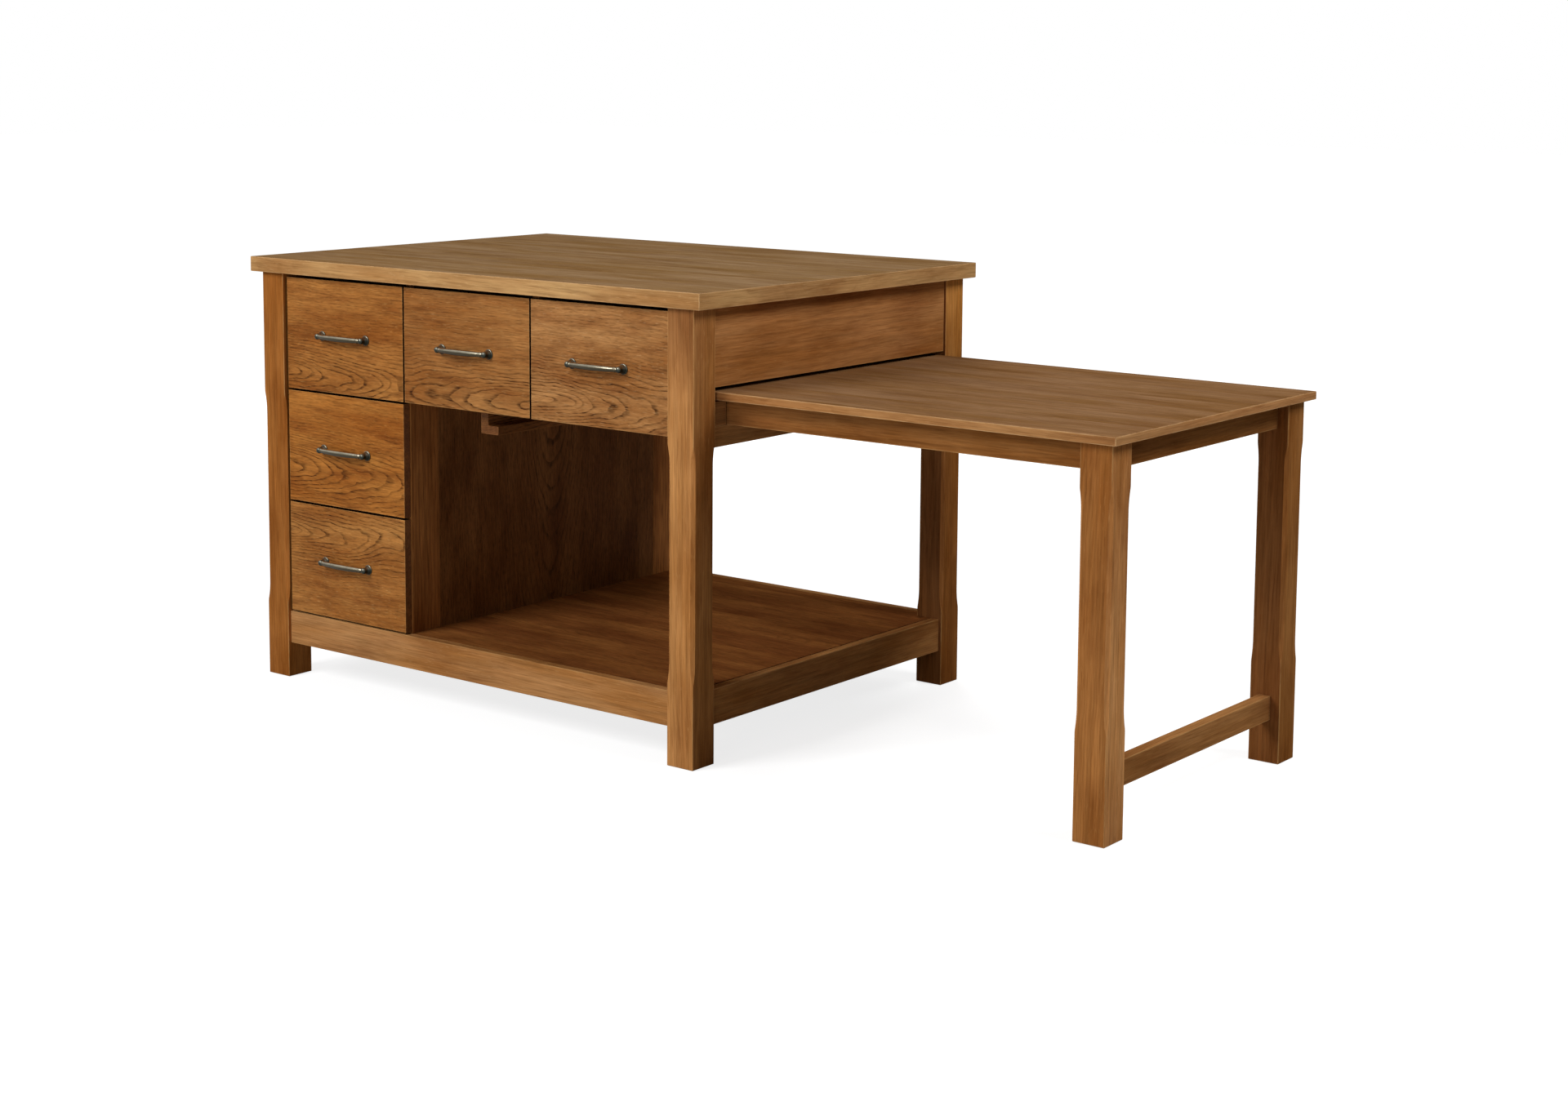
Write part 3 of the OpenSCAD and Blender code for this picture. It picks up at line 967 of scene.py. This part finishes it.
@dataclass
class ChamferedPosts:
    """Square posts whose four chamfers stop short of their ends in long curves."""

    # Each post's painted light and painted shade, by its CAD node
    post_light: dict[str, PostPaintedLight]
    foot: float
    head: float
    chamfer: float = 6.5 * MM
    run: float = 45.0 * MM
    arris: float = 0.8 * MM
    foot_arris: float = 1.5 * MM
    steps: int = 9
    facet_tone: float = 1.2

    # A chamfer's facet looks along both axes by more than this
    FACET = 0.5

    def _chamfer_at(self, z: float) -> float:
        """Works out the chamfer's width along each face.

        Args:
            z: The height.

        Returns:
            The width in metres, which is the arris's at the post's ends.
        """
        depth = self.chamfer / math.sqrt(2)
        radius = (self.run**2 + depth**2) / (2 * depth)
        out = max(self.foot + self.run - z, z - (self.head - self.run), 0.0)
        if out >= self.run:
            return self.arris
        return max(self.arris, (depth - radius + math.sqrt(radius**2 - out**2)) * math.sqrt(2))

    def _heights(self) -> list[float]:
        """Lists the heights at which the chamfers change width."""
        steps = [self.run * i / self.steps for i in range(self.steps + 1)]
        return [self.foot + s for s in steps] + [self.head - s for s in reversed(steps)]

    def build(self, body: str) -> None:
        """Builds the first post, and copies it to the other nodes' places.

        Args:
            body: The CAD body that the posts ride on.
        """
        first_node, *nodes = self.post_light
        low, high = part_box(first_node)
        first = self._shape(first_node + "_post", low, high)
        for node in nodes:
            post = shifted_copy(first, node + "_post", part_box(node)[0] - low)
            self._finish(post, body, node)
        self._finish(first, body, first_node)

    def _finish(self, post: Object, body: str, node: str) -> None:
        """Marks one post, paints light and shade into its tones, dresses it, and hands it over.

        Args:
            post: The post.
            body: The CAD body that it rides on.
            node: The CAD node that it stands for.
        """
        Timber(node, Grain.ALONG_Z).mark(post, *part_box(node))
        self._paint_face_light(post.data, self.post_light[node])
        dress(post, Finish.FRAME)
        hand_over(post, body, "oak", node)

    def _paint_face_light(self, mesh: Mesh, stain: PostPaintedLight) -> None:
        """Paints light and shade into each face's tone, and the chamfers' cut facets lighter, as sanding
        through the stain does.

        Args:
            mesh: The marked post's mesh.
            stain: The post's painted light and painted shade.
        """
        tones = mesh.attributes["board_tone"].data
        for face in mesh.polygons:
            across, out = abs(face.normal.x), abs(face.normal.y)
            for i in face.loop_indices:
                head = mesh.vertices[mesh.loops[i].vertex_index].co.z > self.head + MM
                tone = stain.tone(across > out, head)
                if min(across, out) > self.FACET:
                    tone = (stain.tone(False, head) + stain.tone(True, head)) / 2 * self.facet_tone
                tones[i].vector = Vector(tones[i].vector) * tone

    def _shape(self, name: str, low: Vector, high: Vector) -> Object:
        """Shapes a post: a block, chamfered, cut across at each height and narrowed there.

        Args:
            name: The post's name.
            low: Its lowest corner.
            high: Its highest corner.

        Returns:
            The post.
        """
        centre = (low + high) / 2
        half = (high.x - low.x) / 2
        post = start_block(name, low, high)
        edit_unselected("EDGE")
        bpy.ops.object.mode_set(mode="OBJECT")
        for edge in post.data.edges:
            ends = [post.data.vertices[i].co for i in edge.vertices]
            edge.select = abs(ends[0].z - ends[1].z) > half
        bpy.ops.object.mode_set(mode="EDIT")
        bpy.ops.mesh.bevel(offset=self.chamfer, segments=1, affect="EDGES")
        for z in self._heights():
            bpy.ops.mesh.select_all(action="SELECT")
            bpy.ops.mesh.bisect(plane_co=(centre.x, centre.y, z), plane_no=(0, 0, 1))
        bpy.ops.object.mode_set(mode="OBJECT")
        for z in [low.z] + self._heights() + [high.z]:
            self._set_width(post, centre, half, z)
        self._ease_foot(post, low.z)
        bpy.ops.object.shade_smooth_by_angle(angle=math.radians(20))
        return post

    def _set_width(self, post: Object, centre: Vector, half: float, z: float) -> None:
        """Sets the chamfers' width at one height, by moving their corners along the faces.

        Args:
            post: The post.
            centre: Its middle.
            half: Half its thickness.
            z: The height.
        """
        ratio = (half - self._chamfer_at(z)) / (half - self.chamfer)
        if abs(ratio - 1) < NEAR:
            return
        middle = (centre.x, centre.y, z)
        for axis, value in enumerate(((1.0, ratio, 1.0), (ratio, 1.0, 1.0))):
            select_vertices(
                post,
                lambda co, axis=axis: abs(co.z - z) < NEAR
                and abs(abs(co[axis] - centre[axis]) - half) < NEAR,
            )
            bpy.ops.transform.resize(value=value, center_override=middle)
        bpy.ops.object.mode_set(mode="OBJECT")

    def _ease_foot(self, post: Object, bottom: float) -> None:
        """Rounds the arris round the post's foot, as a plane does before it is stood on a floor."""
        select_vertices(post, lambda co: abs(co.z - bottom) < NEAR)
        bpy.ops.mesh.select_mode(type="EDGE")
        bpy.ops.mesh.bevel(offset=self.foot_arris, segments=2, affect="EDGES")
        bpy.ops.object.mode_set(mode="OBJECT")


@dataclass
class Case:
    """The fixed case: posts, boards round them, and what is hidden inside."""

    body: str = "case"
    chamfer_foot: float = 160 * MM
    chamfer_head: float = 625 * MM
    top_arris: float = 1.6 * MM

    # Painted light and painted shade on each post: lighter heads, and darker faces in the shade of the
    # table and the bay
    POST_LIGHT = {
        "post_front_left": PostPaintedLight((1.05, 0.88, 0.64), (1.05, 0.88, 0.64)),
        "post_front_right": PostPaintedLight(
            (1.4, 1.43, 1.43), (0.93, 0.89, 0.82), (0.86, 0.82, 0.86), (1.6, 1.75, 1.9)
        ),
        "post_back_left": PostPaintedLight(),
        "post_back_right": PostPaintedLight((0.62, 0.57, 0.58), (0.74, 0.63, 0.48), side_head=(1.8, 1.85, 1.5)),
    }
    # The worktop's tone turns it greyer, part of its painted sheen
    TOP_TONE = (1.04, 1.13, 1.17)
    APRON_TONE = (1.18, 1.15, 1.18)
    RAIL_TONE = (1.22, 1.32, 1.5)
    # Painted light: the stiles stand at the front of the bay, and this tone makes them lighter than the
    # panel, as more light reaches them
    STILE_TONE = (1.7, 1.65, 1.55)

    def build(self) -> None:
        """Builds every piece of the case."""
        x, y, z = Grain
        frame, inner, birch = Finish.FRAME, Finish.INNER, Finish.BIRCH
        pieces = (
            BoardSet(
                "worktop", x, Finish.TOP, arris=self.top_arris, tone=self.TOP_TONE, banded=True,
                band=Finish.EDGE_BAND,
            ),
            ChamferedPosts(self.POST_LIGHT, self.chamfer_foot, self.chamfer_head),
            BoardSet("apron_right", y, frame, tone=self.APRON_TONE),
            BoardSet("apron_left", y, frame, tone=self.APRON_TONE),
            BoardSet("apron_back", x, frame, cut=Cut.CROWN),
            BoardSet("lower_rail_front", x, frame, tone=self.RAIL_TONE),
            BoardSet("lower_rail_back", x, frame, tone=self.RAIL_TONE),
            BoardSet("lower_rail_left", y, frame),
            BoardSet("lower_rail_right", y, frame),
            BoardSet("case_rail_front", x, inner),
            BoardSet("case_rail_back", x, inner),
            BoardSet("partition_stile_front", z, inner, "oak_inner", tone=self.STILE_TONE),
            BoardSet("partition_stile_back", z, inner, "oak_inner", tone=self.STILE_TONE),
            BoardSet("partition_panel", z, inner, "oak_inner", Cut.CROWN),
            BoardSet("column_side_outer", z, frame, "oak_inner", Cut.CROWN),
            BoardSet("column_side_inner", z, inner, "oak_inner"),
            BoardSet("column_back", z, inner, "oak_inner", Cut.CROWN),
            BoardSet("column_rail", x, inner, "oak_inner"),
            BoardSet("drawer_dividers", y, inner, "oak_inner"),
            BoardSet("drawer_runners", y, birch, "birch", arris=0.8 * MM),
            BoardSet("table_support_rail", y, frame),
            BoardSet("table_guides", y, frame),
            EasedCopy("shelf", x, Finish.SHELF),
            # Painted shade: the bearer takes the darker inner finish, as its flange lies in the shade of
            # the case rail and the drawers
            EasedCopy("cross_bearer", y, inner, end=Finish.FRONT_SIDE),
        )
        for piece in pieces:
            piece.build(self.body)


@dataclass
class Table:
    """The table that slides out of the case's right end."""

    body: str = "table"
    chamfer_foot: float = 194 * MM
    chamfer_head: float = 625 * MM
    top_arris: float = 1.6 * MM

    # Painted light on each leg: its sides lighter, as light from the right falls on them
    POST_LIGHT = {
        "table_leg_front": PostPaintedLight((1.02, 0.92, 0.78), (1.5, 1.6, 1.8)),
        "table_leg_back": PostPaintedLight((0.72, 0.62, 0.58), (0.84, 0.78, 0.68)),
    }
    TOP_TONE = (0.97, 0.92, 0.89)
    APRON_TONE = (0.86, 0.8, 0.72)

    def build(self) -> None:
        """Builds every piece of the table."""
        x, y, _ = Grain
        pieces = (
            BoardSet(
                "table_top", x, Finish.TOP, arris=self.top_arris, tone=self.TOP_TONE, banded=True,
                band=Finish.EDGE_BAND,
            ),
            ChamferedPosts(self.POST_LIGHT, self.chamfer_foot, self.chamfer_head),
            BoardSet("table_aprons", x, Finish.FRAME, tone=self.APRON_TONE),
            BoardSet("table_apron_end", y, Finish.FRAME, tone=self.APRON_TONE),
            BoardSet("table_rail_inner", y, Finish.FRAME),
            BoardSet("table_stretcher", y, Finish.FRAME),
            BoardSet("table_stops", y, Finish.FRAME),
        )
        for piece in pieces:
            piece.build(self.body)


@dataclass
class Handle:
    """A bowed bar handle on two turned feet, cast in one."""

    pitch: float = 132 * MM
    reach: float = 14 * MM
    bow: float = 6.4 * MM
    middle_radius: float = 6.2 * MM
    neck_radius: float = 4.2 * MM
    fullness: float = 0.65
    bead_mm: float = 8.0
    bead_width_mm: float = 1.2
    bead_height: float = 0.9 * MM
    stations: int = 28

    # The turned foot: distance out from the drawer front, and radius, in mm
    FOOT = (
        (0.0, 9.8), (0.7, 10.4), (2.0, 10.5), (2.7, 9.9), (3.0, 9.1), (3.8, 8.9), (5.2, 8.4), (6.8, 7.6),
        (8.6, 6.9), (10.0, 6.5), (11.2, 6.3), (12.8, 6.4), (14.6, 6.4), (16.6, 6.0), (18.2, 4.9),
        (19.3, 3.3), (19.8, 1.5),
    )
    # Cuts that round a bead, from its middle, in mm
    BEAD_CUTS = (-2.5, -1.5, -0.5, 0.5, 1.5, 2.5)

    def _foot(self, at: Vector) -> Object:
        """Turns one foot, from its rosette out to the ball that holds the bar.

        Args:
            at: The foot's middle on the drawer front.

        Returns:
            The foot.
        """
        deselect()
        first = self.FOOT[0]
        bpy.ops.mesh.primitive_circle_add(
            vertices=32, radius=first[1] * MM, fill_type="NGON", location=at, rotation=(math.pi / 2, 0, 0)
        )
        foot = bpy.context.object
        bpy.ops.object.transform_apply(location=True, rotation=True, scale=True)
        bpy.ops.object.mode_set(mode="EDIT")
        bpy.ops.mesh.select_all(action="SELECT")
        for (out, radius), (next_out, next_radius) in zip(self.FOOT, self.FOOT[1:]):
            step = (0, -(next_out - out) * MM, 0)
            bpy.ops.mesh.extrude_region_move(TRANSFORM_OT_translate={"value": step})
            share = next_radius / radius
            middle = (at.x, at.y - next_out * MM, at.z)
            bpy.ops.transform.resize(value=(share, 1, share), center_override=middle)
        bpy.ops.mesh.select_all(action="SELECT")
        bpy.ops.mesh.normals_make_consistent(inside=False)
        bpy.ops.object.mode_set(mode="OBJECT")
        # The feet's darker pewter is a painted reflection of the dark wood
        foot.data.materials.append(Finish.DARK_PEWTER.material())
        return foot

    def _bar(self, at: Vector) -> Object:
        """Draws the bar from foot to foot: fullest in the middle, with a bead by each neck.

        Args:
            at: The middle of the drawer front's face.

        Returns:
            The bar.
        """
        deselect()
        axis_y = at.y - self.reach
        left = at.x - self.pitch / 2
        bpy.ops.mesh.primitive_cylinder_add(
            vertices=24,
            radius=self.middle_radius,
            depth=self.pitch,
            location=(at.x, axis_y, at.z),
            rotation=(0, math.pi / 2, 0),
        )
        bar = bpy.context.object
        bpy.ops.object.transform_apply(location=True, rotation=True, scale=True)
        beads = [(self.bead_mm + cut) * MM for cut in self.BEAD_CUTS]
        places = [self.pitch * i / self.stations for i in range(1, self.stations)]
        places = sorted(places + beads + [self.pitch - bead for bead in beads])
        bpy.ops.object.mode_set(mode="EDIT")
        for place in places:
            bpy.ops.mesh.select_all(action="SELECT")
            bpy.ops.mesh.bisect(plane_co=(left + place, axis_y, at.z), plane_no=(1, 0, 0))
        bpy.ops.object.mode_set(mode="OBJECT")
        for place in [0.0] + places + [self.pitch]:
            share = self._radius_at(place) / self.middle_radius
            out = self.bow * (1 - (2 * place / self.pitch - 1) ** 2)
            select_vertices(bar, lambda co, place=place: abs(co.x - left - place) < NEAR)
            centre = (left + place, axis_y, at.z)
            bpy.ops.transform.resize(value=(1, share, share), center_override=centre)
            bpy.ops.transform.translate(value=(0, -out, 0))
            bpy.ops.object.mode_set(mode="OBJECT")
        bar.data.materials.append(Finish.PEWTER.material())
        return bar

    def _radius_at(self, place: float) -> float:
        """Works out the bar's radius, with its swell and its beads.

        Args:
            place: The distance from its left end.

        Returns:
            The radius.
        """
        near = min(place, self.pitch - place) / MM
        swell = math.sin(math.pi / 2 * min(1.0, near / (self.pitch / 2 / MM))) ** self.fullness
        radius = self.neck_radius + (self.middle_radius - self.neck_radius) * swell
        return radius + math.exp(-(((near - self.bead_mm) / self.bead_width_mm) ** 2)) * self.bead_height

    def build(self, name: str, at: Vector) -> Object:
        """Builds the first handle.

        Args:
            name: The drawer's name.
            at: The middle of the drawer front's face.

        Returns:
            The handle.
        """
        half = Vector((self.pitch / 2, 0, 0))
        parts = [self._foot(at - half), self._foot(at + half), self._bar(at)]
        handle = join(parts, name + "_bar_handle")
        activate(handle)
        bpy.ops.object.shade_smooth_by_angle(angle=math.radians(42))
        return handle


@dataclass(frozen=True)
class FrontWood:
    """How a drawer front's board differs from the others.

    The arches' height over the board's middle, how the stain came out, and
    whether its right side shows in the bay.
    """

    arches: float
    tone: Tone
    open_side: bool = False


DRAWERS = {
    "top_left": FrontWood(-88 * MM, (0.94, 0.86, 0.73)),
    "top_middle": FrontWood(-92 * MM, (0.92, 0.92, 0.98)),
    "top_right": FrontWood(-72 * MM, (1.06, 1.14, 1.42)),
    "middle": FrontWood(-48 * MM, (1.0, 0.87, 0.62), open_side=True),
    "lower": FrontWood(62 * MM, (1.13, 1.13, 1.08), open_side=True),
}


@dataclass
class Drawer:
    """One drawer: its front, its box, its handle and the handle's screws."""

    name: str
    wood: FrontWood
    handle: Object
    handle_at: Vector

    def build(self) -> None:
        """Builds every piece of the drawer."""
        body = self.name + "_drawer"
        # The front's narrow faces get the nearly black painted shade of the gaps
        front = BoardSet(
            self.name + "_front", Grain.ALONG_X, Finish.FRONT, cut=Cut.HEART, tone=self.wood.tone,
            band=Finish.FRONT_END, arches=self.wood.arches,
        ).build(body)
        if self.wood.open_side:
            dress_faces(front, Finish.FRONT_SIDE, lambda normal: normal.x > FACING)
        EasedCopy(self.name + "_box", Grain.ALONG_Y, Finish.BIRCH, "birch", arris=0.4 * MM).build(body)
        BoardSet(self.name + "_bottom", Grain.ALONG_X, Finish.BIRCH, "birch").build(body)
        self._hang_handle(body)
        dress(bpy.data.objects[self.name + "_screws"], Finish.ZINC)

    def _hang_handle(self, body: str) -> None:
        """Hangs a copy of the first handle on this drawer, or the first handle itself.

        Args:
            body: The drawer's CAD body.
        """
        shift = handle_place(self.name) - self.handle_at
        handle = self.handle
        if shift.length > NEAR:
            handle = shifted_copy(self.handle, self.name + "_bar_handle", shift)
        hand_over(handle, body, "pewter", self.name + "_handle")


def handle_place(name: str) -> Vector:
    """Gives the point on a drawer front's face that its handle is centred on."""
    low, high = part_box(name + "_handle")
    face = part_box(name + "_front")[0].y
    return Vector(((low.x + high.x) / 2, face, (low.z + high.z) / 2))


@dataclass(frozen=True)
class PhotoCamera:
    """The photograph's camera, found from the object's own edges."""

    place: tuple[float, float, float] = (3.1307, -3.9817, 1.3585)
    azimuth: float = 37.703
    dip: float = 6.853
    roll: float = 0.405
    focal_px: float = 3051.0
    centre_row_px: float = 430.0
    width_px: int = 1920
    height_px: int = 1361
    sensor_mm: float = 36.0
    clip_end: float = 100.0

    def build(self) -> None:
        """Adds the camera and makes it the scene's."""
        azimuth, dip, roll = (math.radians(a) for a in (self.azimuth, self.dip, self.roll))
        forward = Vector(
            (-math.sin(azimuth) * math.cos(dip), math.cos(azimuth) * math.cos(dip), -math.sin(dip))
        )
        level = Vector((math.cos(azimuth), math.sin(azimuth), 0.0))
        upright = level.cross(forward)
        right = level * math.cos(roll) + upright * math.sin(roll)
        up = upright * math.cos(roll) - level * math.sin(roll)
        camera = bpy.data.cameras.new("photo_camera")
        camera.sensor_width = self.sensor_mm
        camera.lens = self.focal_px * self.sensor_mm / self.width_px
        camera.shift_y = (self.centre_row_px - self.height_px / 2) / self.width_px
        camera.clip_end = self.clip_end
        holder = add_object("photo_camera", camera)
        turned = Matrix((right, up, -forward)).transposed().to_4x4()
        holder.matrix_world = Matrix.Translation(self.place) @ turned
        bpy.context.scene.camera = holder


@dataclass(frozen=True)
class Lamp:
    """One soft rectangular white lamp, aimed at a point."""

    name: str
    place: tuple[float, float, float]
    aim: tuple[float, float, float]
    size: tuple[float, float]
    power: float

    def build(self) -> None:
        """Adds the lamp."""
        light = bpy.data.lights.new(self.name, "AREA")
        light.shape = "RECTANGLE"
        light.size, light.size_y = self.size
        light.energy = self.power
        holder = add_object(self.name, light)
        holder.location = self.place
        way = Vector(self.aim) - Vector(self.place)
        holder.rotation_euler = way.to_track_quat("-Z", "Y").to_euler()


@dataclass(frozen=True)
class Studio:
    """A white floor and backdrop, and plain soft light."""

    floor_size: float = 60.0
    near: float = 1.8
    far: float = 5.0
    near_glow: float = 0.8
    ambient: float = 0.06
    paper: str = "#b4b4b4"
    white: str = "#ffffff"

    def build(self) -> None:
        """Builds the floor, the world and the lamps."""
        self._floor()
        self._world()
        middle = (0.0, 0.0, 0.45)
        Lamp("key_front_left", (-1.3, -4.0, 3.2), middle, (2.0, 2.0), 138.0).build()
        Lamp("fill_front_low", (1.0, -4.6, 0.9), middle, (2.4, 1.2), 36.0).build()
        Lamp("fill_right", (3.7, 0.6, 4.2), middle, (2.0, 2.0), 135.0).build()
        Lamp("fill_back_left", (-3.2, 3.9, 2.6), middle, (2.0, 2.0), 90.0).build()

    def _seen(self, tree: NodeTree, *rays: str) -> Source:
        """Tells the rays that look at the backdrop from those that light the object.

        Args:
            tree: The node tree.
            *rays: The kinds of ray that look.

        Returns:
            1 for a ray of those kinds, and 0 for any other.
        """
        path = add_node(tree, "LightPath")
        seen = path.outputs[rays[0]]
        for ray in rays[1:]:
            seen = add_node(tree, "Math", {0: seen, 1: path.outputs[ray]}, operation="ADD", use_clamp=True)
        return seen

    def _floor(self) -> None:
        """Adds a white floor that keeps the object's shadow."""
        deselect()
        bpy.ops.mesh.primitive_plane_add(size=self.floor_size, location=(0, 0, -0.5 * MM))
        floor = bpy.context.object
        floor.name = "studio_floor"
        material, tree = new_material("white_paper_floor")
        # The glow grows with distance, so that the floor ends white and still keeps a shadow
        place = add_node(tree, "TexCoord").outputs["Object"]
        away = add_node(tree, "VectorMath", {0: place}, operation="LENGTH").outputs["Value"]
        limits = {"From Min": self.near, "From Max": self.far, "To Min": self.near_glow, "To Max": 1.0}
        glow = add_node(tree, "MapRange", {"Value": away} | limits, interpolation_type="SMOOTHSTEP")
        seen = self._seen(tree, "Is Camera Ray", "Is Glossy Ray")
        glow = add_node(tree, "Math", {0: glow, 1: seen}, operation="MULTIPLY")
        glow = add_node(tree, "Emission", {"Color": linear(self.white), "Strength": glow})
        paper = add_node(tree, "BsdfDiffuse", {"Color": linear(self.paper)})
        both = add_node(tree, "AddShader", {0: paper, 1: glow})
        add_node(tree, "OutputMaterial", {0: both})
        floor.data.materials.append(material)

    def _world(self) -> None:
        """Makes the world white to look at, and a dim grey as light."""
        world = bpy.data.worlds.new("white_backdrop")
        bpy.context.scene.world = world
        world.use_nodes = True
        tree = world.node_tree
        tree.nodes.clear()
        seen = self._seen(tree, "Is Camera Ray", "Is Glossy Ray", "Is Transmission Ray")
        strength = add_node(tree, "MapRange", {"Value": seen, "To Min": self.ambient, "To Max": 1.0})
        back = add_node(tree, "Background", {"Color": linear(self.white), "Strength": strength})
        add_node(tree, "OutputWorld", {0: back})


def main() -> None:
    """Builds the island's looks round its frame, sub-assembly by sub-assembly."""
    logging.basicConfig(level=logging.INFO, format="%(name)s: %(message)s")
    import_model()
    bpy.context.scene.view_settings.view_transform = "Standard"
    Case().build()
    Table().build()
    first_drawer = next(iter(DRAWERS))
    first = handle_place(first_drawer)
    handle = Handle().build(first_drawer, first)
    for name, wood in DRAWERS.items():
        Drawer(name, wood, handle, first).build()
    Studio().build()
    PhotoCamera().build()


if __name__ == "__main__":
    main()
